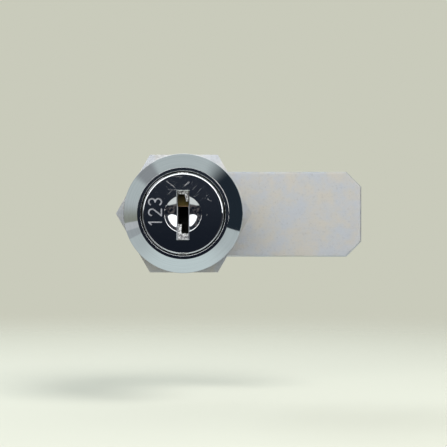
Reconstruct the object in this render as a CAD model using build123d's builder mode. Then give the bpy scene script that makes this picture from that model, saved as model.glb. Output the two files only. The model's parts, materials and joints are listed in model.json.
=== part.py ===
from build123d import *
import os
from math import asin, ceil, cos, degrees, radians

# Cam lock with a 22 mm bezel: a wafer lock in a threaded double-D housing, for a thin panel.
#
# Millimetres. The lock's axis is Y. The front faces -Y and +Z is up. The origin is where the axis
# meets the bezel's seat, which lies on the front of the panel. The pose is the locked one, with the
# keyway upright and the cam along +X. The wafers stand at the shear line, as the key holds them.
# Unlocking turns the plug 90 degrees clockwise, seen from the front, and the cam goes to -Z.

# Bezel: a rim, a conical bevel, a narrow flat land, and the well that the plug's head turns in
RIM_R = 11.0
RIM_FRONT = -0.95
LAND_R = 8.4
LAND_FRONT = -2.5
WELL_R = 7.78
WELL_FLOOR = -0.3
RIM_EDGE = 0.2
LAND_EDGE = 0.06
WELL_EDGE = 0.06

# Barrel: M19 x 1 thread with two flats 16 mm apart, a plain collar in front of the thread, which
# fills the panel's hole, and a stop ring on its rear end
COLLAR_R = 9.47
COLLAR_END = 0.5
CREST_R = 9.45
ROOT_R = 8.85
PITCH = 1.0
THREAD_START = 1.0
THREAD_END = 18.9
FLAT_X = 8.0
BARREL_END = 20.0
STOP_RING_R = (6.45, 7.9)
STOP_RING_T = 1.1

# Inside the housing: the bore, four wafer grooves, and the retainer's ring groove
BORE_R = 6.04
GROOVE_R = 7.0
GROOVE_WIDTH = 4.7
GROOVE_START = 0.4
RING_GROOVE_R = 7.1

# Plug: head, body and square tail
HEAD_R = 7.6
FACE_Y = -2.4
HEAD_BACK = -0.33
HEAD_EDGE = 0.45
PLUG_R = 6.0
TAIL = 8.0
TAIL_CORNER = 0.4
TAIL_END = 23.55
DISH_DEPTH = 0.8
DISH_R = 3.4
DISH_Z = -0.1
DISH_EDGE = 0.2

# Keyway, with the shallow entry that guides the key into it
KEYWAY_HALF = 0.98
KEYWAY_TOP = 3.54
KEYWAY_BOTTOM = -3.7
KEYWAY_END = 15.3
UPPER_WARD = (0.58, 2.17)
UPPER_WARD_ROOT = 0.27
LOWER_WARD = (-0.3, -2.0)
ENTRY_WIDTH = 2.14
ENTRY_TOP = 4.14
ENTRY_BOTTOM = -4.75
ENTRY_DEPTH = 1.1
ENTRY_CHAMFER = 0.12

# Digits engraved on the face: a generic number that reads from bottom to top
DIGIT_HEIGHT = 2.6
DIGIT_WIDTH = 1.47
DIGIT_PITCH = 1.9
DIGIT_STROKE = 0.27
DIGIT_DEPTH = 0.15
NUMBER_X = -5.1
NUMBER_Z = 0.2

# Wafers: each has its own window top, which is where the key's cut reaches
WAFER_T = 1.0
WAFER_WIDTH = 4.4
WAFER_R = 5.95
WAFER_START = 1.2
WAFER_PITCH = 2.1
WINDOW_TOPS = (1.26, 2.06, 1.66, 2.46, 1.66, 2.06)
WINDOW_CHAMFER = (0.15, 0.1)
WINDOW_HALF = 1.25
WINDOW_BOTTOM = -4.2
SLOT_PLAY = 0.1
LUG_Z = (-1.0, -0.2)
LUG_END = 3.6
WAFER_YS = [WAFER_START + i * WAFER_PITCH for i in range(len(WINDOW_TOPS))]

# Springs: each stands in a round pocket beside its slot and bears on the wafer's lug
POCKET_X = 3.0
POCKET_R = 0.75
POCKET_Z = (-2.1, 4.0)
SPRING_R = 0.53
SPRING_WIRE = 0.2
SPRING_TURNS = 7

# Retainer: a wider wafer that springs up into the ring groove
RETAINER_Y = 14.2
RETAINER_T = 1.2
RETAINER_WIDTH = 6.0
RETAINER_R = 6.95
RETAINER_PUSH = 1.0
RETAINER_BOTTOM = -4.6
RETAINER_WINDOW = (-3.9, 4.2)
RETAINER_LUG_Z = (0.4, 1.2)
RETAINER_LUG_END = -4.35
RETAINER_POCKET_X = -3.75
RETAINER_POCKET_Z = (-2.6, 1.4)

# Rear stack on the tail: stop washer, cam, plain washer, spring washer, screw
STACK_START = BARREL_END + 0.05
STOP_T = 1.1
STOP_DISC_R = 6.3
TAB_R = 7.85
TAB_HALF = 2.4
TAB_PLAY = 0.05
TURN = 90
CAM_START = STACK_START + STOP_T
CAM_T = 2.5
CAM_HALF = 8.5
CAM_REACH = 35.0
CAM_TIP_CORNER = 3.0
CAM_EDGE = 0.3
SQUARE_HOLE = 8.1
PLAIN_START = CAM_START + CAM_T
PLAIN_T = 1.0
PLAIN_R = 6.5
PLAIN_EDGE = 0.2
SPLIT_START = PLAIN_START + PLAIN_T
SPLIT_T = 1.3
SPLIT_R = 4.6
SPLIT_GAP = 0.5
SPLIT_SLANT = 0.6
HEAD_START = SPLIT_START + SPLIT_T
SCREW_HEAD_R = 4.75
SCREW_HEAD_T = 3.0
SCREW_HEAD_EDGE = 1.9
CROSS_LENGTH = 5.2
CROSS_WIDTH = 1.1
CROSS_DEPTH = 2.0
CROSS_TAPER = 9
SCREW_R = 2.45
SCREW_ROOT_R = 2.05
SCREW_PITCH = 0.8
SCREW_TIP = 17.2
SCREW_TIP_EDGE = 0.4
SCREW_HOLE_R = 2.5
SCREW_HOLE_END = 16.7
WASHER_BORE_R = 2.65

# Front stack: toothed washer and nut, run up for a 2 mm panel
PANEL_T = 2.1
TOOTHED_T = 0.8
TOOTHED_BORE_R = 9.6
TOOTHED_R = (10.15, 10.9)
TEETH = 18
TOOTH_FOOT = 2.4
TOOTH_SLOPE = 75
NUT_START = PANEL_T + TOOTHED_T
NUT_T = 4.0
NUT_HALF = 11.0
NUT_LEAD = 0.25
THREAD_GAP = 0.06

TOLERANCE = 0.001


def across(y):
    """The plane across the axis at y, seen from the front: local x is +X and local y is +Z."""
    return Plane.XZ.offset(-y)


def finish(piece, label):
    """Label a finished piece and write it."""
    piece.part.label = label
    export_step(piece.part, f"parts/{label}.step")


def thread_ridge(foot_r, tip_r, pitch, start, end, half_foot=0.42, half_tip=0.08):
    """One helical ridge from foot_r to tip_r. Its half widths are in pitches."""
    with BuildPart() as ridge:
        with BuildLine() as coil:
            Helix(pitch, end - start, foot_r, center=(0, start, 0), direction=(0, 1, 0))
        foot = coil.line @ 0
        outward = (foot.X, 0, foot.Z)
        with BuildSketch(Plane(foot, x_dir=outward, z_dir=coil.line % 0)):
            sunk = 0.2 * (foot_r - tip_r)
            with BuildLine():
                Polyline((sunk, -half_foot * pitch), (tip_r - foot_r, -half_tip * pitch),
                         (tip_r - foot_r, half_tip * pitch), (sunk, half_foot * pitch), close=True)
            make_face()
        sweep(path=coil.line, is_frenet=True)
    return ridge.part


def round_bar(radius, start, end):
    """Add a cylinder on the lock's axis to the part being built."""
    with BuildSketch(across(end)) as section:
        Circle(radius)
    extrude(section.sketch, amount=end - start)


def tab_outline(radius, half, angles, mode=Mode.ADD):
    """Rectangles from the axis outwards, one at each angle, for the sketch being built."""
    for angle in angles:
        with PolarLocations(0, 1, start_angle=angle):
            Rectangle(radius, 2 * half, align=(Align.MIN, Align.CENTER), mode=mode)


def threaded_barrel():
    """The barrel before it is bored: a threaded bar with a flat on its left and right."""
    with BuildPart() as barrel:
        round_bar(ROOT_R, 0, BARREL_END)
        round_bar(COLLAR_R, 0, COLLAR_END)
        add(thread_ridge(ROOT_R + 0.05, CREST_R, PITCH, THREAD_START, THREAD_END))
        with BuildSketch(across(BARREL_END)):
            Rectangle(4 * FLAT_X, 3 * CREST_R)
            Rectangle(2 * FLAT_X, 3 * CREST_R, mode=Mode.SUBTRACT)
        extrude(amount=BARREL_END, mode=Mode.SUBTRACT)
    return barrel.part


def make_housing():
    tab_angles = (180 - TURN / 2, TURN / 2)
    barrel = threaded_barrel()
    with BuildPart() as housing:
        with BuildSketch(Plane.XY):
            with BuildLine():
                Polyline((BORE_R, 0), (RIM_R, 0), (RIM_R, RIM_FRONT), (LAND_R, LAND_FRONT),
                         (WELL_R, LAND_FRONT), (WELL_R, WELL_FLOOR), (BORE_R, WELL_FLOOR), close=True)
            make_face()
        revolve(axis=Axis.Y)
        circles = housing.edges().filter_by(GeomType.CIRCLE)
        land = circles.group_by(Axis.Y)[0].sort_by(SortBy.RADIUS)
        fillet(circles.group_by(SortBy.RADIUS)[-1].sort_by(Axis.Y)[0], radius=RIM_EDGE)
        fillet(land[-1], radius=LAND_EDGE)
        fillet(land[0], radius=WELL_EDGE)
        add(barrel)
        # stop ring, open where the tab swings
        with BuildSketch(across(BARREL_END + STOP_RING_T)):
            Circle(STOP_RING_R[1])
            Circle(STOP_RING_R[0], mode=Mode.SUBTRACT)
            tab_outline(2 * TAB_R, TAB_HALF + TAB_PLAY, tab_angles, Mode.SUBTRACT)
            with BuildLine():
                Polyline((0, 0), (2 * TAB_R, 2 * TAB_R), (-2 * TAB_R, 2 * TAB_R), close=True)
            make_face(mode=Mode.SUBTRACT)
        extrude(amount=STOP_RING_T)
        # bore, wafer grooves and ring groove
        with BuildSketch(across(BARREL_END + STOP_RING_T)):
            Circle(BORE_R)
        extrude(amount=BARREL_END + STOP_RING_T + 1, mode=Mode.SUBTRACT)
        with BuildSketch(across(BARREL_END + STOP_RING_T)):
            Rectangle(2 * GROOVE_R, GROOVE_WIDTH)
            Rectangle(GROOVE_WIDTH, 2 * GROOVE_R)
        extrude(amount=BARREL_END + STOP_RING_T - GROOVE_START, mode=Mode.SUBTRACT)
        ring_half = RETAINER_T / 2 + SLOT_PLAY
        with BuildSketch(across(RETAINER_Y + ring_half)):
            Circle(RING_GROOVE_R)
        extrude(amount=2 * ring_half, mode=Mode.SUBTRACT)
    finish(housing, "housing")


def stroke_one(half_w, half_h):
    with BuildLine() as one:
        Polyline((-0.6 * half_w, 0.6 * half_h), (0.1, half_h), (0.1, -half_h))
    return one.line


def stroke_two(half_w, half_h):
    with BuildLine() as two:
        bowl = CenterArc((0, half_h - half_w), half_w, 170, -205)
        Polyline(bowl @ 1, (-half_w, -half_h), (half_w, -half_h))
    return two.line


def stroke_three(half_w, half_h):
    bowl = half_h / 2
    with BuildLine() as three:
        CenterArc((0, bowl), bowl, 150, -240)
        CenterArc((0, -bowl), bowl, 90, -240)
    return three.line


def engrave_number():
    """Cut the digits 1, 2 and 3 into the face of the part being built."""
    half_w = (DIGIT_WIDTH - DIGIT_STROKE) / 2
    half_h = (DIGIT_HEIGHT - DIGIT_STROKE) / 2
    for place, stroke in enumerate((stroke_one, stroke_two, stroke_three)):
        z = NUMBER_Z + (place - 1) * DIGIT_PITCH
        face = Plane((NUMBER_X, FACE_Y, z), x_dir=(0, 0, 1), z_dir=(0, -1, 0))
        with BuildSketch(face.offset(-DIGIT_DEPTH)) as digit:
            for edge in stroke(half_w, half_h).edges():
                trace(edge, line_width=DIGIT_STROKE)
                with Locations(edge @ 0, edge @ 1):
                    Circle(DIGIT_STROKE / 2)
        extrude(digit.sketch, amount=2 * DIGIT_DEPTH, mode=Mode.SUBTRACT)


def is_entry_mouth(point):
    """Whether a point lies on the flat part of the entry's mouth, outside the dish."""
    beside = abs(point.X) < ENTRY_WIDTH / 2 + TOLERANCE
    return beside and abs(point.Z) > DISH_R and abs(point.Y - FACE_Y) < TOLERANCE


def make_plug():
    slot_t = WAFER_T + SLOT_PLAY
    with BuildPart() as plug:
        round_bar(HEAD_R, FACE_Y, HEAD_BACK)
        fillet(plug.edges().sort_by(Axis.Y)[0], radius=HEAD_EDGE)
        round_bar(PLUG_R, HEAD_BACK, BARREL_END)
        with BuildSketch(across(TAIL_END)):
            RectangleRounded(TAIL, TAIL, TAIL_CORNER)
        extrude(amount=TAIL_END - BARREL_END)
        # the dish about the keyway, a shallow part of a ball with a rounded rim
        ball = (DISH_R**2 + DISH_DEPTH**2) / (2 * DISH_DEPTH)
        floor_y = FACE_Y + DISH_DEPTH
        with BuildSketch(Plane((0, 0, DISH_Z))) as dish:
            with BuildLine():
                bowl = CenterArc((0, floor_y - ball), ball, 90, -degrees(asin(DISH_R / ball)))
                Polyline(bowl @ 1, (DISH_R + 1, FACE_Y), (DISH_R + 1, FACE_Y - 1), (0, FACE_Y - 1),
                         bowl @ 0)
            make_face()
            fillet(dish.vertices().sort_by_distance((DISH_R, FACE_Y))[0], radius=DISH_EDGE)
        revolve(axis=Axis((0, 0, DISH_Z), (0, 1, 0)), mode=Mode.SUBTRACT)
        with BuildSketch(across(FACE_Y + ENTRY_DEPTH)):
            with Locations((0, (ENTRY_TOP + ENTRY_BOTTOM) / 2)):
                Rectangle(ENTRY_WIDTH, ENTRY_TOP - ENTRY_BOTTOM)
        extrude(amount=2 * ENTRY_DEPTH, mode=Mode.SUBTRACT)
        mouth = [edge for edge in plug.edges() if is_entry_mouth(edge.center())]
        chamfer(mouth, length=ENTRY_CHAMFER)
        # the keyway, with a square ward at the lower left and a tapered one at the upper right
        with BuildSketch(across(KEYWAY_END)):
            with BuildLine():
                Polyline((-KEYWAY_HALF, KEYWAY_TOP), (UPPER_WARD_ROOT, KEYWAY_TOP), UPPER_WARD,
                         (KEYWAY_HALF, UPPER_WARD[1]), (KEYWAY_HALF, KEYWAY_BOTTOM),
                         (LOWER_WARD[0], KEYWAY_BOTTOM), LOWER_WARD,
                         (-KEYWAY_HALF, LOWER_WARD[1]), close=True)
            make_face()
        extrude(amount=KEYWAY_END - FACE_Y, mode=Mode.SUBTRACT)
        # wafer slots, each with a side channel for the lug
        channel_end = POCKET_X + POCKET_R
        for y in WAFER_YS:
            with BuildSketch(across(y + slot_t / 2)):
                Rectangle(WAFER_WIDTH + SLOT_PLAY, 3 * PLUG_R)
                with Locations((0, POCKET_Z[0])):
                    Rectangle(channel_end, LUG_Z[1] - POCKET_Z[0] + SLOT_PLAY,
                              align=(Align.MIN, Align.MIN))
            extrude(amount=slot_t, mode=Mode.SUBTRACT)
        with BuildSketch(Plane.XY.offset(POCKET_Z[0])):
            with Locations(*[(POCKET_X, y) for y in WAFER_YS]):
                Circle(POCKET_R)
        extrude(amount=POCKET_Z[1] - POCKET_Z[0], mode=Mode.SUBTRACT)
        # the retainer's slot, stopped at the bottom, and its pocket
        slot_t = RETAINER_T + SLOT_PLAY
        slot_low = RETAINER_BOTTOM - RETAINER_PUSH - SLOT_PLAY
        with BuildSketch(across(RETAINER_Y + slot_t / 2)):
            with Locations((0, slot_low)):
                Rectangle(RETAINER_WIDTH + SLOT_PLAY, 2 * PLUG_R, align=(Align.CENTER, Align.MIN))
            with Locations((0, RETAINER_POCKET_Z[0])):
                Rectangle(-RETAINER_POCKET_X + POCKET_R, RETAINER_POCKET_Z[1] - RETAINER_POCKET_Z[0],
                          align=(Align.MAX, Align.MIN))
        extrude(amount=slot_t, mode=Mode.SUBTRACT)
        with BuildSketch(Plane.XY.offset(RETAINER_POCKET_Z[0])):
            with Locations((RETAINER_POCKET_X, RETAINER_Y)):
                Circle(POCKET_R)
        extrude(amount=RETAINER_POCKET_Z[1] - RETAINER_POCKET_Z[0], mode=Mode.SUBTRACT)
        # the cam screw's hole
        with BuildSketch(across(TAIL_END)):
            Circle(SCREW_HOLE_R)
        extrude(amount=TAIL_END - SCREW_HOLE_END, mode=Mode.SUBTRACT)
        engrave_number()
    finish(plug, "plug")


def make_wafer(number, y, window_top):
    with BuildPart() as wafer:
        with BuildSketch(across(y + WAFER_T / 2)):
            Circle(WAFER_R)
            Rectangle(WAFER_WIDTH, 3 * WAFER_R, mode=Mode.INTERSECT)
            with Locations((0, LUG_Z[0])):
                Rectangle(LUG_END, LUG_Z[1] - LUG_Z[0], align=(Align.MIN, Align.MIN))
            with Locations((0, WINDOW_BOTTOM)):
                Rectangle(2 * WINDOW_HALF, window_top - WINDOW_BOTTOM,
                          align=(Align.CENTER, Align.MIN), mode=Mode.SUBTRACT)
        extrude(amount=WAFER_T)
        front = wafer.faces().sort_by(Axis.Y)[0]
        lip = front.edges().filter_by(Axis.X).sort_by_distance((0, y - WAFER_T, window_top))[0]
        chamfer(lip, *WINDOW_CHAMFER, reference=front)
    finish(wafer, f"wafer_{number}")


def make_spring(label, x, y, low, high):
    """A helical spring whose wire fills the height between low and high."""
    with BuildPart() as spring:
        height = high - low - SPRING_WIRE
        with BuildLine() as coil:
            Helix(height / SPRING_TURNS, height, SPRING_R, center=(x, y, low + SPRING_WIRE / 2))
        with BuildSketch(Plane(coil.line @ 0, z_dir=coil.line % 0)):
            Circle(SPRING_WIRE / 2)
        sweep(path=coil.line, is_frenet=True)
    finish(spring, label)


def make_retainer():
    with BuildPart() as retainer:
        with BuildSketch(across(RETAINER_Y + RETAINER_T / 2)):
            Circle(RETAINER_R)
            with Locations((0, RETAINER_BOTTOM)):
                Rectangle(RETAINER_WIDTH, 3 * RETAINER_R, align=(Align.CENTER, Align.MIN),
                          mode=Mode.INTERSECT)
            with Locations((0, RETAINER_LUG_Z[0])):
                Rectangle(-RETAINER_LUG_END, RETAINER_LUG_Z[1] - RETAINER_LUG_Z[0],
                          align=(Align.MAX, Align.MIN))
            with Locations((0, RETAINER_WINDOW[0])):
                Rectangle(2 * WINDOW_HALF, RETAINER_WINDOW[1] - RETAINER_WINDOW[0],
                          align=(Align.CENTER, Align.MIN), mode=Mode.SUBTRACT)
        extrude(amount=RETAINER_T)
    finish(retainer, "retainer_wafer")


def make_stop_washer():
    with BuildPart() as washer:
        with BuildSketch(across(STACK_START + STOP_T)):
            tab_outline(2 * TAB_R, TAB_HALF, (180 - TURN / 2,))
            Circle(TAB_R, mode=Mode.INTERSECT)
            Circle(STOP_DISC_R)
            Rectangle(SQUARE_HOLE, SQUARE_HOLE, mode=Mode.SUBTRACT)
        extrude(amount=STOP_T)
    finish(washer, "stop_washer")


def make_cam():
    with BuildPart() as cam:
        with BuildSketch(across(CAM_START + CAM_T)) as plate:
            Rectangle(CAM_REACH, 2 * CAM_HALF, align=(Align.MIN, Align.CENTER))
            chamfer(plate.vertices().group_by(Axis.X)[-1], length=CAM_TIP_CORNER)
            Circle(CAM_HALF)
        extrude(amount=CAM_T)
        outline = cam.edges().group_by(Axis.Y)[0] + cam.edges().group_by(Axis.Y)[-1]
        fillet(outline, radius=CAM_EDGE)
        with BuildSketch(across(CAM_START + CAM_T)):
            Rectangle(SQUARE_HOLE, SQUARE_HOLE)
        extrude(amount=CAM_T, mode=Mode.SUBTRACT)
    finish(cam, "cam")


def make_plain_washer():
    with BuildPart() as washer:
        round_bar(PLAIN_R, PLAIN_START, PLAIN_START + PLAIN_T)
        fillet(washer.edges().filter_by(GeomType.CIRCLE), radius=PLAIN_EDGE)
        with BuildSketch(across(PLAIN_START + PLAIN_T)):
            Circle(WASHER_BORE_R)
        extrude(amount=PLAIN_T, mode=Mode.SUBTRACT)
    finish(washer, "plain_washer")


def make_spring_washer():
    """A split washer, flat as the tightened screw leaves it."""
    middle = (SPLIT_R + WASHER_BORE_R) / 2
    with BuildPart() as washer:
        with BuildSketch(across(SPLIT_START + SPLIT_T)):
            Circle(SPLIT_R)
            Circle(WASHER_BORE_R, mode=Mode.SUBTRACT)
        extrude(amount=SPLIT_T)
        slant = Plane((0, SPLIT_START + SPLIT_T / 2, middle), x_dir=(1, SPLIT_SLANT, 0),
                      z_dir=(0, 0, 1))
        with BuildSketch(slant.offset(-SPLIT_R / 2)):
            Rectangle(SPLIT_GAP, 4 * SPLIT_T)
        extrude(amount=SPLIT_R, mode=Mode.SUBTRACT)
    finish(washer, "spring_washer")


def make_screw():
    head_end = HEAD_START + SCREW_HEAD_T
    with BuildPart() as screw:
        round_bar(SCREW_ROOT_R, SCREW_TIP, HEAD_START)
        chamfer(screw.edges().sort_by(Axis.Y)[0], length=SCREW_TIP_EDGE)
        add(thread_ridge(SCREW_ROOT_R + 0.05, SCREW_R, SCREW_PITCH, SCREW_TIP + SCREW_PITCH,
                         HEAD_START - SCREW_PITCH))
        round_bar(SCREW_HEAD_R, HEAD_START, head_end)
        fillet(screw.edges().filter_by(GeomType.CIRCLE).sort_by(Axis.Y)[-1], radius=SCREW_HEAD_EDGE)
        with BuildSketch(across(head_end)):
            Rectangle(CROSS_LENGTH, CROSS_WIDTH)
            Rectangle(CROSS_WIDTH, CROSS_LENGTH)
        extrude(amount=CROSS_DEPTH, taper=CROSS_TAPER, mode=Mode.SUBTRACT)
    finish(screw, "cam_screw")


def make_toothed_washer():
    end = PANEL_T + TOOTHED_T
    with BuildPart() as washer:
        with BuildSketch(across(end)):
            Circle(TOOTHED_R[0])
            with PolarLocations((TOOTHED_BORE_R + TOOTHED_R[1]) / 2, TEETH):
                Trapezoid(TOOTH_FOOT, TOOTHED_R[1] - TOOTHED_BORE_R, TOOTH_SLOPE, rotation=-90)
            Circle(TOOTHED_BORE_R, mode=Mode.SUBTRACT)
        extrude(amount=TOOTHED_T)
    finish(washer, "toothed_washer")


def make_nut():
    end = NUT_START + NUT_T
    corner = NUT_HALF / cos(radians(30))
    lead = NUT_LEAD * (corner - NUT_HALF)
    with BuildPart() as nut:
        with BuildSketch(across(end)):
            RegularPolygon(NUT_HALF, 6, major_radius=False)
        extrude(amount=NUT_T)
        with BuildSketch(Plane.XY):
            with BuildLine():
                Polyline((0, NUT_START), (NUT_HALF, NUT_START), (corner, NUT_START + lead),
                         (corner, end - lead), (NUT_HALF, end), (0, end), close=True)
            make_face()
        revolve(axis=Axis.Y, mode=Mode.INTERSECT)
        with BuildSketch(across(end)):
            Circle(CREST_R + THREAD_GAP)
        extrude(amount=NUT_T, mode=Mode.SUBTRACT)
        # its thread runs midway between the turns of the barrel's
        first = THREAD_START + (ceil((NUT_START - THREAD_START) / PITCH) + 0.5) * PITCH
        add(thread_ridge(CREST_R + THREAD_GAP, ROOT_R + THREAD_GAP, PITCH, first, end - 0.5 * PITCH,
                         half_foot=0.38, half_tip=0.04))
    finish(nut, "mounting_nut")


os.makedirs("parts", exist_ok=True)
make_housing()
make_plug()
for number, (y, window_top) in enumerate(zip(WAFER_YS, WINDOW_TOPS), start=1):
    make_wafer(number, y, window_top)
    make_spring(f"wafer_spring_{number}", POCKET_X, y, LUG_Z[1], POCKET_Z[1])
make_retainer()
make_spring("retainer_spring", RETAINER_POCKET_X, RETAINER_Y, RETAINER_POCKET_Z[0], RETAINER_LUG_Z[0])
make_stop_washer()
make_cam()
make_plain_washer()
make_spring_washer()
make_screw()
make_toothed_washer()
make_nut()
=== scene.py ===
import json
import math
import bmesh
import bpy
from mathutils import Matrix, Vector


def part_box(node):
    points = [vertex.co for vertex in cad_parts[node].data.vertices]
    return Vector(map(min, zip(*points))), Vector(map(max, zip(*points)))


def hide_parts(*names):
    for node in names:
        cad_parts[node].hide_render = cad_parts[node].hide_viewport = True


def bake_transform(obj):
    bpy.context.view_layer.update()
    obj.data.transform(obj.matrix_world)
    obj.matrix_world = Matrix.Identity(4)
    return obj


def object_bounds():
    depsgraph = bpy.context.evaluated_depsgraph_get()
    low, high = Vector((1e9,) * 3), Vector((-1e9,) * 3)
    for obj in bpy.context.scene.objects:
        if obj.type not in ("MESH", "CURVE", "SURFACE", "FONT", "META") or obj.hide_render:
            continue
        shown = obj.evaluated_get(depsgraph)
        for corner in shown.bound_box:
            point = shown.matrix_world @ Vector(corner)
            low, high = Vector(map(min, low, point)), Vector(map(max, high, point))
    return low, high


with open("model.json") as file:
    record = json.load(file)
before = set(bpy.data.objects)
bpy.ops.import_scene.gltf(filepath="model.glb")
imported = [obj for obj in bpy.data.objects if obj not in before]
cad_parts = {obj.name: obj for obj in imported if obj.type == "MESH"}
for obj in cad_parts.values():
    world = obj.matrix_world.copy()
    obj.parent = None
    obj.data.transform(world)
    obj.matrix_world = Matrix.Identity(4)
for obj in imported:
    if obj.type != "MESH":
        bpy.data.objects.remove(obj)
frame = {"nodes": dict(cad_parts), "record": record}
cad_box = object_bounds()

# The lock's axis is Y, its front faces -Y and +Z is up. The panel seat is the plane y = 0.
# Finishes are written in millimetres, and the studio in degrees off the front.
MM = 0.001

# The housing: a bevel rises from the rim to the land, a narrow flat ring round the well that the
# plug's head turns in. Whatever is nearer to the axis than INSIDE_R is inside the barrel.
RIM_FRONT = -0.95
LAND_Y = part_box("housing")[0][1] / MM
LAND_R = (7.78, 8.4)
WELL_FLOOR = -0.3
INSIDE_R = 7.2
BARREL_END = 20.0

# The plug: its face has a number at the left and, in the middle, the key's sunken entry, which
# holds the keyway and is a little wider
FACE_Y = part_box("plug")[0][1] / MM
HEAD_R = 7.6
NUMBER_X = (-6.6, -3.6)
ENTRY_FLOOR = FACE_Y + 1.1
ENTRY_HALF = 1.07
KEYWAY_HALF = 0.98

# The wafers, and how deep the painted shade reaches on the first one's front
WAFERS = 6
FIRST_WAFER_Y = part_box("wafer_1")[0][1] / MM
PAINTED_SHADE_DEPTH = (0.3, 0.6)


# ---------------------------------------------------------------- node helpers

class Nodes:
    """Short calls for the nodes of one tree."""

    def __init__(self, tree):
        self.tree = tree

    def put(self, socket, value):
        if isinstance(value, bpy.types.NodeSocket):
            self.tree.links.new(value, socket)
        elif socket.type == "RGBA":
            socket.default_value = (*value, 1.0)
        else:
            socket.default_value = value

    def make(self, kind, **settings):
        node = self.tree.nodes.new("ShaderNode" + kind)
        for key, value in settings.items():
            setattr(node, key, value)
        return node

    def math(self, operation, first, second=0.0):
        node = self.make("Math", operation=operation)
        self.put(node.inputs[0], first)
        self.put(node.inputs[1], second)
        return node.outputs[0]

    def times(self, first, *others):
        for other in others:
            first = self.math("MULTIPLY", first, other)
        return first

    def plus(self, first, second):
        return self.math("ADD", first, second)

    def minus(self, first, second):
        return self.math("SUBTRACT", first, second)

    def larger(self, first, second):
        return self.math("MAXIMUM", first, second)

    def smaller(self, first, second):
        return self.math("MINIMUM", first, second)

    def absolute(self, value):
        return self.math("ABSOLUTE", value)

    def vector(self, operation, first, second=(0, 0, 0)):
        node = self.make("VectorMath", operation=operation)
        self.put(node.inputs[0], first)
        self.put(node.inputs[1], second)
        return node.outputs["Value" if operation in ("LENGTH", "DOT_PRODUCT") else "Vector"]

    def split(self, vector):
        node = self.make("SeparateXYZ")
        self.put(node.inputs[0], vector)
        return node.outputs[0], node.outputs[1], node.outputs[2]

    def join(self, x, y, z=0.0):
        node = self.make("CombineXYZ")
        for socket, value in zip(node.inputs, (x, y, z)):
            self.put(socket, value)
        return node.outputs[0]

    def ramp(self, value, start, end, low=0.0, high=1.0):
        """A smooth step from low to high as value goes from start to end."""
        node = self.make("MapRange", interpolation_type="SMOOTHSTEP")
        for key, number in (("Value", value), ("From Min", start), ("From Max", end),
                            ("To Min", low), ("To Max", high)):
            self.put(node.inputs[key], number)
        return node.outputs["Result"]

    def band(self, value, low, high, soft=0.001):
        """1 where value lies between low and high, 0 elsewhere, with soft edges outside."""
        return self.times(self.ramp(value, low - soft, low), self.ramp(value, high + soft, high))

    def noise(self, place, scale, detail=3.0, rough=0.55, distortion=0.0):
        node = self.make("TexNoise")
        for key, value in (("Vector", place), ("Scale", scale), ("Detail", detail),
                           ("Roughness", rough), ("Distortion", distortion)):
            self.put(node.inputs[key], value)
        return node.outputs["Fac"]

    def mix(self, factor, first, second):
        node = self.make("Mix", data_type="RGBA")
        for socket, value in ((0, factor), (6, first), (7, second)):
            self.put(node.inputs[socket], value)
        return node.outputs[2]


class Finish(Nodes):
    """A material's tree, with its point of the lock in millimetres."""

    def __init__(self, name):
        self.material = bpy.data.materials.new(name)
        self.material.use_nodes = True
        super().__init__(self.material.node_tree)
        place = self.make("TexCoord")
        self.mm = self.vector("MULTIPLY", place.outputs["Object"], (1 / MM,) * 3)
        self.x, self.y, self.z = self.split(self.mm)
        self.off_axis = self.vector("LENGTH", self.join(self.x, 0.0, self.z))
        self.around = self.math("ARCTAN2", self.z, self.x)

    def stretched(self, stretch, turn=(0, 0, 0)):
        node = self.make("Mapping")
        for key, value in (("Vector", self.mm), ("Rotation", turn), ("Scale", stretch)):
            self.put(node.inputs[key], value)
        return node.outputs["Vector"]

    def scratches(self, tilt, threshold=0.68, length=14.0, density=2.2):
        """Thin straight marks across the face at one tilt: 1 on a mark and 0 between marks."""
        place = self.stretched((1 / length, 1, 1), (0, math.radians(tilt), 0))
        return self.ramp(self.noise(place, density, 2.0, 0.5), threshold, threshold + 0.02)

    def nick(self, start, end, half_width):
        """One straight mark on the face, between two (x, z) points: 1 on it, fading beside it."""
        along = (end[0] - start[0], 0, end[1] - start[1])
        length = math.hypot(along[0], along[2])
        from_start = self.vector("SUBTRACT", self.join(self.x, 0.0, self.z), (start[0], 0, start[1]))
        share = self.math("DIVIDE", self.vector("DOT_PRODUCT", from_start, along), length**2)
        share = self.smaller(self.larger(share, 0.0), 1.0)
        nearest = self.vector("MULTIPLY", self.join(share, share, share), along)
        away = self.vector("LENGTH", self.vector("SUBTRACT", from_start, nearest))
        return self.ramp(away, half_width, 0.2 * half_width)

    def turning_lines(self, density):
        """Fine rings about the axis, as a lathe or a buffing wheel leaves them."""
        ring = self.join(self.times(self.off_axis, density), self.times(self.y, density), self.around)
        return self.noise(ring, 1.0, 3.0)

    def bump(self, height, depth_mm, over=None):
        node = self.make("Bump")
        self.put(node.inputs["Height"], height)
        self.put(node.inputs["Distance"], depth_mm * MM)
        if over is not None:
            self.put(node.inputs["Normal"], over)
        return node.outputs["Normal"]

    def finish(self, colour, rough, normal, metal=1.0):
        surface = self.tree.nodes["Principled BSDF"]
        for key, value in (("Base Color", colour), ("Roughness", rough), ("Metallic", metal),
                           ("Normal", normal)):
            self.put(surface.inputs[key], value)
        return self.material


# ---------------------------------------------------------------- chrome

PLATE = (0.80, 0.82, 0.84)
BUFFED_PLATE = tuple(0.95 * part for part in PLATE)
DULL_PLATE = ((0.52, 0.53, 0.54), (0.68, 0.69, 0.70))
SLEEVE_PLATE = ((0.56, 0.57, 0.58), (0.70, 0.71, 0.72))
CHIPPED_PLATE = ((0.20, 0.20, 0.21), (0.86, 0.87, 0.88))
FROSTED = (0.40, 0.41, 0.45)
LEDGE_PAINTED_SHADE = (0.12, 0.115, 0.10)
# painted shade: a near black laid in the well, the bore, the keyway and the gap round the plug's head,
# where shade falls
NEAR_BLACK_SHADE = (0.03, 0.028, 0.024)

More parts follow.
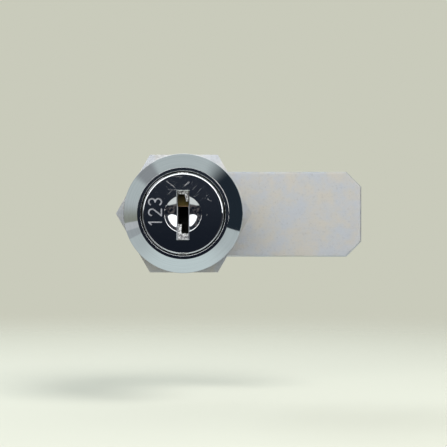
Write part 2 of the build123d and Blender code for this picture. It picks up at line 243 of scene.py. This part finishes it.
# Marks on the plug's face: where each starts and ends, as x and z, and its half width
NICKS = (
    ((-3.0, 5.9), (-1.5, 4.7), 0.20),
    ((0.3, 5.1), (1.1, 5.7), 0.30),
    ((4.5, 2.7), (4.7, 2.4), 0.12),
    ((4.7, 2.4), (5.2, 2.3), 0.12),
    ((4.38, -0.15), (4.38, -0.35), 0.14),
    ((2.5, 3.7), (3.3, 4.5), 0.07),
    ((1.7, 4.3), (2.4, 5.0), 0.08),
    ((-2.7, 3.5), (-2.1, 4.1), 0.08),
    ((2.0, 3.1), (2.9, 3.4), 0.06),
)


def rubbed_edges(s):
    """Where hanging keys have rubbed the upper right of the land's outer edge, and pits in the
    edge of the well, most of them at the right."""
    worn = s.times(s.band(s.off_axis, LAND_R[1] - 0.01, LAND_R[1] + 0.04, 0.04),
                   s.ramp(s.x, 4.6, 6.4), s.ramp(s.z, 0.2, 1.6))
    pits = s.times(s.band(s.off_axis, LAND_R[0], LAND_R[0] + 0.05, 0.05),
                   s.ramp(s.noise(s.mm, 2.6, 3.0), 0.54, 0.62),
                   s.ramp(s.x, -9.0, 8.0, low=0.2, high=0.8))
    return s.times(s.larger(worn, pits), s.ramp(s.y, RIM_FRONT + 0.05, RIM_FRONT - 0.15))


def painted_well_shade(s):
    """Painted shade: the inside of the well and the bore, painted near black."""
    well = s.times(s.ramp(s.off_axis, LAND_R[0] + 0.015, LAND_R[0] - 0.01),
                   s.ramp(s.y, LAND_Y + 0.08, LAND_Y + 0.3))
    bore = s.ramp(s.off_axis, INSIDE_R + 0.02, INSIDE_R)
    return s.times(s.larger(well, bore), s.ramp(s.y, BARREL_END + 0.5, BARREL_END - 0.5))


def chrome():
    """Bright plate in front of the seat, and thin dull plate over the cast barrel behind it."""
    s = Finish("chrome")
    behind = s.ramp(s.y, -0.15, 0.15)
    rubbed = rubbed_edges(s)
    well_shade = painted_well_shade(s)
    grain = s.noise(s.mm, 3.5, 4.0, 0.6)
    rings = s.turning_lines(5.0)

    buffed = s.mix(s.ramp(rings, 0.40, 0.65), PLATE, BUFFED_PLATE)
    colour = s.mix(behind, buffed, s.mix(grain, *DULL_PLATE))
    # painted shade: the well and the bore darkened near black
    colour = s.mix(well_shade, colour, NEAR_BLACK_SHADE)

    smudge = s.ramp(s.noise(s.mm, 0.35, 4.0, 0.6), 0.45, 0.75, low=0.035, high=0.09)
    marks = s.larger(s.scratches(29), s.scratches(-52, 0.70))
    polish = s.plus(smudge, s.times(marks, 0.05))
    polish = s.plus(polish, s.ramp(rings, 0.45, 0.8, high=0.05))
    cast = s.ramp(grain, 0.3, 0.7, low=0.24, high=0.40)
    rough = s.plus(s.times(polish, s.minus(1.0, behind)), s.times(cast, behind))
    rough = s.larger(rough, s.times(rubbed, 0.45))

    ripple = s.bump(s.noise(s.mm, 0.6, 2.0), 0.004)
    lines = s.bump(rings, 0.0015, over=ripple)
    pitted = s.bump(s.times(grain, behind), 0.013, over=lines)
    metal = s.minus(1.0, s.times(s.larger(rubbed, well_shade), 0.6))
    return s.finish(colour, rough, pitted, metal)


def painted_keyway_shade(s):
    """Painted shade inside the keyway and in the gap round the plug's head."""
    in_keyway = s.band(s.x, -KEYWAY_HALF - 0.04, KEYWAY_HALF + 0.04)
    keyway = s.times(in_keyway, s.ramp(s.y, ENTRY_FLOOR + 0.05, ENTRY_FLOOR + 0.7))
    gap = s.times(s.ramp(s.off_axis, HEAD_R - 0.04, HEAD_R - 0.01),
                  s.ramp(s.y, FACE_Y + 0.4, FACE_Y + 0.7))
    return s.larger(keyway, gap)


def key_marks(s):
    """Fine marks that fan out from the keyway, with a few straight ones across. Most of them are
    above it, and they fade out at the number."""
    spokes = s.join(s.times(s.around, 12.0), s.times(s.off_axis, 0.12))
    fan = s.times(s.ramp(s.noise(spokes, 1.6, 1.0), 0.61, 0.65), s.band(s.off_axis, 4.2, 5.4, 1.0))
    across = s.larger(s.scratches(48, 0.70, 16.0, 3.4), s.scratches(-38, 0.70, 12.0, 3.8))
    above = s.ramp(s.z, -1.5, 4.0, low=0.08)
    return s.times(s.larger(across, fan), above, s.ramp(s.x, NUMBER_X[1] - 0.5, NUMBER_X[1] + 0.5))


def plug_chrome():
    """The same plate on the plug, scratched where keys have missed the keyway. Its number and the
    ledges beside the keyway are frosted, with painted shade on the ledges' upper part, and the
    ledges above and below the keyway are chipped. The keyway and the gap round the head carry
    painted shade."""
    s = Finish("plug_chrome")
    behind = s.ramp(s.y, WELL_FLOOR - 0.3, WELL_FLOOR)
    below_face = s.band(s.y, FACE_Y + 0.04, ENTRY_FLOOR + 0.05)
    digit = s.times(s.band(s.x, *NUMBER_X), below_face)
    entry = s.times(s.band(s.x, 0.02 - KEYWAY_HALF, KEYWAY_HALF - 0.02), below_face)
    beside = s.times(s.band(s.absolute(s.x), KEYWAY_HALF + 0.01, ENTRY_HALF + 0.005), below_face)
    frosted = s.larger(digit, s.times(s.larger(entry, beside), 0.8))
    keyway_shade = painted_keyway_shade(s)
    marks = key_marks(s)
    nicks = 0.0
    for nick in NICKS:
        nicks = s.larger(s.nick(*nick), nicks)

    sleeve = s.mix(s.noise(s.mm, 4.0, 4.0, 0.6), *SLEEVE_PLATE)
    chips = s.ramp(s.noise(s.mm, 2.4, 4.0, 0.7), 0.44, 0.56)
    colour = s.mix(behind, PLATE, sleeve)
    colour = s.mix(entry, colour, s.mix(chips, *CHIPPED_PLATE))
    colour = s.mix(digit, colour, FROSTED)
    # painted shade: the ledges beside the keyway turn dark above their lower part
    colour = s.mix(beside, colour, s.mix(s.ramp(s.z, 1.1, 1.6), FROSTED, LEDGE_PAINTED_SHADE))
    # painted shade: the keyway and the gap round the head darkened near black
    colour = s.mix(keyway_shade, colour, NEAR_BLACK_SHADE)

    smudge = s.times(s.noise(s.mm, 0.9, 5.0, 0.65, 0.4), s.ramp(s.z, -4.0, 6.0, low=0.8, high=1.1))
    polish = s.plus(s.ramp(smudge, 0.42, 0.75, low=0.03, high=0.10), s.times(marks, 0.10))
    rough = s.larger(polish, s.times(behind, 0.26))
    rough = s.larger(rough, s.times(nicks, 0.20))
    rough = s.larger(rough, s.times(frosted, 0.62))

    specks = s.ramp(s.noise(s.mm, 5.0, 2.0), 0.74, 0.78)
    ripple = s.bump(s.noise(s.mm, 0.7, 2.0), 0.003)
    cut = s.bump(s.larger(marks, specks), -0.0005, over=ripple)
    sand = s.bump(s.times(s.noise(s.mm, 5.0, 4.0), frosted), 0.06, over=cut)
    metal = s.minus(1.0, s.times(s.larger(frosted, keyway_shade), 0.85))
    return s.finish(colour, rough, sand, metal)


# ---------------------------------------------------------------- other metals

CLEAN_BRASS = ((0.66, 0.47, 0.18), (0.47, 0.32, 0.11))
TARNISH_AND_PAINTED_SHADE = ((0.14, 0.105, 0.031), (0.085, 0.06, 0.016))
BRASS_PAINTED_SHADE = (0.045, 0.035, 0.012)
CUT_BRASS = (0.60, 0.36, 0.22)
DRAWN_STEEL = ((0.50, 0.49, 0.47), (0.68, 0.67, 0.65))


def brass():
    """Stamped brass strip with fine roll lines. The first wafer's front is tarnished and darkened with
    painted shade, more so towards its top, apart from its window's edge, which the key keeps bright."""
    s = Finish("brass")
    patches = s.noise(s.mm, 0.9, 5.0, 0.6)
    tarnish = s.ramp(patches, 0.35, 0.75)
    lines = s.noise(s.stretched((1, 1, 0.05)), 9.0, 2.0, 0.5)
    # painted shade: the first wafer's front is darkened, with patchy tarnish tones
    shaded_first_front = s.ramp(s.y, FIRST_WAFER_Y + PAINTED_SHADE_DEPTH[1], FIRST_WAFER_Y + PAINTED_SHADE_DEPTH[0])
    shade_towards_top = s.ramp(s.plus(s.z, patches), 1.9, 3.4)
    facing_down = s.ramp(s.split(s.make("NewGeometry").outputs["True Normal"])[2], -0.3, -0.45)

    # painted shade: darker still towards the top, under the ledge
    tarnish_and_shade = s.mix(shade_towards_top, s.mix(tarnish, *TARNISH_AND_PAINTED_SHADE), BRASS_PAINTED_SHADE)
    colour = s.mix(shaded_first_front, s.mix(tarnish, *CLEAN_BRASS), tarnish_and_shade)
    colour = s.mix(facing_down, colour, CUT_BRASS)
    rough = s.plus(s.ramp(patches, 0.3, 0.8, low=0.24, high=0.42), s.times(lines, 0.08))
    return s.finish(colour, rough, s.bump(lines, 0.006), s.ramp(patches, 0.3, 0.8, 0.95, 0.7))


def zinc(name, tone, rough_low, rough_high, stretch, line_depth):
    """Zinc plate over steel: a cool grey with faint straw and blue patches and fine tool lines."""
    s = Finish(name)
    patches = s.noise(s.mm, 0.22, 4.0, 0.6)
    spangle = s.noise(s.mm, 2.2, 4.0, 0.6)
    lines = s.noise(s.stretched(stretch), 7.0, 3.0, 0.55)
    blue = (tone * 0.96, tone, tone * 1.05)
    straw = (tone * 1.06, tone * 1.02, tone * 0.93)
    dark = (tone * 0.72,) * 3
    tint = s.mix(s.ramp(patches, 0.35, 0.7), blue, straw)
    colour = s.mix(s.ramp(spangle, 0.55, 0.85, high=0.6), tint, dark)
    rough = s.plus(s.ramp(spangle, 0.3, 0.8, rough_low, rough_high), s.times(lines, 0.10))
    dents = s.bump(spangle, 0.008)
    return s.finish(colour, rough, s.bump(lines, line_depth, over=dents), 0.9)


def spring_steel():
    """Drawn wire: fine lines and a faint straw colour."""
    s = Finish("spring_steel")
    lines = s.noise(s.mm, 12.0, 2.0)
    rough = s.ramp(lines, 0.3, 0.7, low=0.2, high=0.34)
    return s.finish(s.mix(lines, *DRAWN_STEEL), rough, s.bump(lines, 0.004))


def dress_cad_nodes():
    """Give each CAD node the finish of its material slot."""
    finishes = {
        "chrome": chrome(),
        "plug_chrome": plug_chrome(),
        "brass": brass(),
        "spring_steel": spring_steel(),
        "zinc_nut": zinc("zinc_nut", 0.62, 0.36, 0.48, stretch=(1, 0.1, 1), line_depth=0.010),
        "zinc_cam": zinc("zinc_cam", 0.72, 0.38, 0.52, stretch=(0.04, 1, 1), line_depth=0.012),
        "zinc_screw": zinc("zinc_screw", 0.66, 0.24, 0.36, stretch=(1, 1, 1), line_depth=0.006),
    }
    for part in frame["record"]["subparts"]:
        node = frame["nodes"][part["node"]]
        node.data.materials.clear()
        node.data.materials.append(finishes[part["material_slot"]])


# ---------------------------------------------------------------- springs

SPRING_WIRE = 0.2 * MM
SPRING_TURNS = 7
CLOSED_PITCH = 1.15 * SPRING_WIRE


def coil_height(turn, open_pitch):
    """How far up its coil the wire's middle is after some turns: both end turns are closed."""
    last = SPRING_TURNS - 1
    lower = min(turn, 1.0) * CLOSED_PITCH
    middle = min(max(turn - 1.0, 0.0), last - 1.0) * open_pitch
    return lower + middle + max(turn - last, 0.0) * CLOSED_PITCH


def coil_mesh(name, low, high, steps=26, sides=10):
    """A round wire wound upright between two corners of a box, with closed, cut ends."""
    middle = (low + high) / 2
    coil_r = (high.x - low.x - SPRING_WIRE) / 2
    open_pitch = (high.z - low.z - SPRING_WIRE - 2 * CLOSED_PITCH) / (SPRING_TURNS - 2)
    shape = bmesh.new()
    rings = []
    for step in range(SPRING_TURNS * steps + 1):
        turn = step / steps
        height = coil_height(turn, open_pitch)
        rise = math.atan2(coil_height(turn + 0.01, open_pitch) - height, 0.01 * math.tau * coil_r)
        out = Vector((math.cos(turn * math.tau), math.sin(turn * math.tau), 0))
        ahead = Vector((-out.y * math.cos(rise), out.x * math.cos(rise), math.sin(rise)))
        centre = Vector((middle.x, middle.y, low.z + SPRING_WIRE / 2 + height)) + coil_r * out
        ring = []
        for side in range(sides):
            angle = math.tau * side / sides
            offset = math.cos(angle) * out + math.sin(angle) * ahead.cross(out)
            ring.append(shape.verts.new(centre + SPRING_WIRE / 2 * offset))
        rings.append(ring)
    for ring, after in zip(rings, rings[1:]):
        for side in range(sides):
            beside = (side + 1) % sides
            shape.faces.new((ring[side], ring[beside], after[beside], after[side])).smooth = True
    shape.faces.new(rings[0])
    shape.faces.new(rings[-1])
    bmesh.ops.recalc_face_normals(shape, faces=shape.faces)
    mesh = bpy.data.meshes.new(name)
    shape.to_mesh(mesh)
    shape.free()
    return mesh


def wind_spring(node):
    """A spring wound in its CAD node's place, which it takes over from the hidden node."""
    low, high = (Vector(corner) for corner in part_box(node))
    spring = bpy.data.objects.new(f"{node}_coil", coil_mesh(node, low, high))
    bpy.context.scene.collection.objects.link(spring)
    spring.data.materials.append(bpy.data.materials["spring_steel"])
    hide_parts(node)
    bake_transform(spring)


def wind_springs():
    for number in range(1, WAFERS + 1):
        wind_spring(f"wafer_spring_{number}")
    wind_spring("retainer_spring")


# ---------------------------------------------------------------- studio

BACKGROUND = (0.585, 0.595, 0.498)
WALL = (0.475, 0.53, 0.53)
LOW_WALL = (0.60, 0.685, 0.68)
SHADED_CORNER = (0.29, 0.31, 0.32)
LEFT_WALL = ((0.475, 0.52, 0.53), (0.26, 0.275, 0.235))
WHITE_STRIP = (0.50, 0.52, 0.53)
GREY_STRIP = (0.37, 0.40, 0.41)
SCREEN = (0.016, 0.024, 0.033)
TABLE = (0.70, 0.73, 0.71)
GLOOM = ((0.009, 0.012, 0.019), (0.021, 0.026, 0.036))
CLUTTER = (0.12, 0.107, 0.105)
SOFTBOX = (2.0, 2.0, 2.0)
REAR_WALL = (0.42, 0.45, 0.46)
REAR_CEILING = (1.25, 1.27, 1.27)
REAR_FLOOR = (0.30, 0.32, 0.31)
REAR_STRIPE = (0.13, 0.14, 0.15)


class Studio(Nodes):
    """What lights and reflections see, by the ray's angle off the front and round the axis. Each
    function lays one thing over the colours so far. Angles are in degrees."""

    def __init__(self, tree):
        super().__init__(tree)
        x, y, self.z = self.split(self.make("TexCoord").outputs["Generated"])
        left, down, ahead = (self.times(part, -1.0) for part in (x, self.z, y))
        self.off_front = self.degrees(self.math("ARCCOSINE", ahead))
        self.from_right = self.degrees(self.math("ARCTAN2", self.z, x))
        self.below_left = self.degrees(self.math("ARCTAN2", down, left))
        # a flat map of the studio, with the front in its middle
        sideways = self.vector("LENGTH", self.join(x, 0.0, self.z))
        stretch = self.math("DIVIDE", self.off_front, self.larger(sideways, 0.001))
        self.across = self.times(x, stretch)
        self.up = self.times(self.z, stretch)

    def degrees(self, angle):
        return self.times(angle, 180 / math.pi)

    def walls(self):
        """Pale walls, brighter and cooler below, with a shaded corner at the upper left."""
        colour = self.mix(self.ramp(self.up, -36, -60), WALL, LOW_WALL)
        return self.mix(self.band(self.from_right, 127, 139, soft=8), colour, SHADED_CORNER)

    def left_side(self, colour):
        """An olive wall that ends in a sharp edge, with a white strip and a grey strip below."""
        olive = self.mix(self.ramp(self.below_left, -14, 7), *LEFT_WALL)
        colour = self.mix(self.band(self.below_left, -14, 8.5, soft=1), colour, olive)
        colour = self.mix(self.band(self.below_left, 9, 16, soft=0.7), colour, WHITE_STRIP)
        return self.mix(self.band(self.below_left, 16.7, 24, soft=0.7), colour, GREY_STRIP)

    def screen(self, colour):
        """A dark screen at the right, with a sharp foot and a soft top."""
        height = self.times(self.ramp(self.from_right, -18.5, -17.5), self.ramp(self.from_right, 68, 40))
        return self.mix(self.times(height, self.band(self.off_front, 46, 84, soft=3)), colour, SCREEN)

    def room(self, colour):
        """Straight ahead, the dark room behind the camera, down to a pale table."""
        table_edge = self.minus(self.up, self.times(self.absolute(self.across), 0.2))
        table = self.times(self.ramp(self.off_front, 56, 52), self.ramp(table_edge, -29, -33))
        colour = self.mix(table, colour, TABLE)
        room_edge = self.plus(self.off_front, self.times(self.larger(self.z, 0.0), 6.0))
        room = self.times(self.ramp(room_edge, 55, 52), self.ramp(table_edge, -33, -29))
        shapes = self.ramp(self.noise(self.join(self.across, self.up), 0.11, 3.0), 0.46, 0.66)
        clutter = self.times(shapes, self.ramp(self.off_front, 8, 14))
        gloom = self.mix(self.ramp(self.up, -1.5, 2.5), *GLOOM)
        return self.mix(room, colour, self.mix(clutter, gloom, CLUTTER))

    def softbox(self, colour):
        """A round softbox above the camera, whose foot hangs lowest at the left and right."""
        reach = self.join(self.math("DIVIDE", self.across, 43), self.math("DIVIDE", self.up, 44))
        inside = self.ramp(self.vector("LENGTH", reach), 1.0, 0.90)
        from_lowest = self.minus(self.absolute(self.across), 29)
        rise = self.smaller(self.times(self.math("POWER", from_lowest, 2.0), 0.035), 5.0)
        above_foot = self.ramp(self.minus(self.up, rise), 0.5, 3.5)
        return self.mix(self.times(inside, above_foot), colour, SOFTBOX)

    def rear(self, colour):
        """Behind the lock, a bright ceiling, a dim floor and a darker stripe at eye level."""
        rear = self.mix(self.ramp(self.z, 0.45, 0.85), REAR_WALL, REAR_CEILING)
        rear = self.mix(self.ramp(self.z, -0.25, -0.7), rear, REAR_FLOOR)
        rear = self.mix(self.band(self.z, -0.07, 0.07, soft=0.10), rear, REAR_STRIPE)
        return self.mix(self.ramp(self.off_front, 92, 112), colour, rear)

    def all_round(self):
        return self.rear(self.softbox(self.room(self.screen(self.left_side(self.walls())))))


def make_world():
    """A pale plain background, and a studio that only lights and reflections see."""
    world = bpy.data.worlds.new("studio")
    bpy.context.scene.world = world
    world.use_nodes = True
    world.node_tree.nodes.clear()
    n = Studio(world.node_tree)
    studio = n.make("Background")
    n.put(studio.inputs["Color"], n.all_round())
    plain = n.make("Background")
    n.put(plain.inputs["Color"], BACKGROUND)
    choose = n.make("MixShader")
    n.put(choose.inputs[0], n.make("LightPath").outputs["Is Camera Ray"])
    n.put(choose.inputs[1], studio.outputs[0])
    n.put(choose.inputs[2], plain.outputs[0])
    n.put(n.make("OutputWorld").inputs["Surface"], choose.outputs[0])


def add_light(name, place, size, watts, colour):
    """A soft lamp aimed at the lock, which its polished faces don't mirror."""
    data = bpy.data.lights.new(name, "AREA")
    data.size = size
    data.energy = watts
    data.color = colour
    lamp = bpy.data.objects.new(name, data)
    lamp.location = place
    lamp.rotation_euler = (-lamp.location).to_track_quat("-Z", "Y").to_euler()
    lamp.visible_glossy = False
    bpy.context.scene.collection.objects.link(lamp)


# ---------------------------------------------------------------- floor and camera

FLOOR_COLOUR = (0.60, 0.61, 0.53)
FLOOR_BELOW = 26 * MM
FLOOR_R = 0.6
FLOOR_FADE = (0.05, 0.30)

VIEW_WIDTH = 81.75 * MM
VIEW_MIDDLE_X = 7.41 * MM
VIEW_MIDDLE_Z = -1.86 * MM
LENS = 110.0


def add_floor():
    """A pale disc below the lock, which fades into the plain background. Its back is clear."""
    place = (0, 0, cad_box[0][2] - FLOOR_BELOW)
    bpy.ops.mesh.primitive_circle_add(vertices=128, radius=FLOOR_R, fill_type="NGON", location=place)
    floor = bpy.context.object
    floor.name = "floor"
    floor.visible_glossy = False
    material = bpy.data.materials.new("floor")
    material.use_nodes = True
    n = Nodes(material.node_tree)
    paint = n.tree.nodes["Principled BSDF"]
    from_middle = n.vector("LENGTH", n.make("TexCoord").outputs["Object"])
    from_above = n.minus(1.0, n.make("NewGeometry").outputs["Backfacing"])
    n.put(paint.inputs["Base Color"], FLOOR_COLOUR)
    n.put(paint.inputs["Roughness"], 0.9)
    n.put(paint.inputs["Specular IOR Level"], 0.1)
    n.put(paint.inputs["Alpha"], n.times(n.ramp(from_middle, *FLOOR_FADE, low=1.0, high=0.0), from_above))
    floor.data.materials.append(material)


def add_camera():
    """Straight at the lock's face, with the lock left of the middle and a little above it."""
    data = bpy.data.cameras.new("camera")
    data.lens = LENS
    data.clip_start = 0.005
    distance = VIEW_WIDTH * LENS / data.sensor_width
    camera = bpy.data.objects.new("camera", data)
    camera.location = (VIEW_MIDDLE_X, FACE_Y * MM - distance, VIEW_MIDDLE_Z)
    camera.rotation_euler = (math.radians(90), 0, 0)
    bpy.context.scene.collection.objects.link(camera)
    bpy.context.scene.camera = camera


# ---------------------------------------------------------------- the scene

dress_cad_nodes()
wind_springs()
make_world()
add_floor()
add_light("key", place=(0.22, -0.30, 0.34), size=0.22, watts=2.2, colour=(1.0, 0.98, 0.95))
add_light("fill", place=(-0.35, 0.25, 0.25), size=0.35, watts=1.6, colour=(0.92, 0.96, 1.0))
add_camera()
bpy.context.scene.view_settings.view_transform = "Standard"
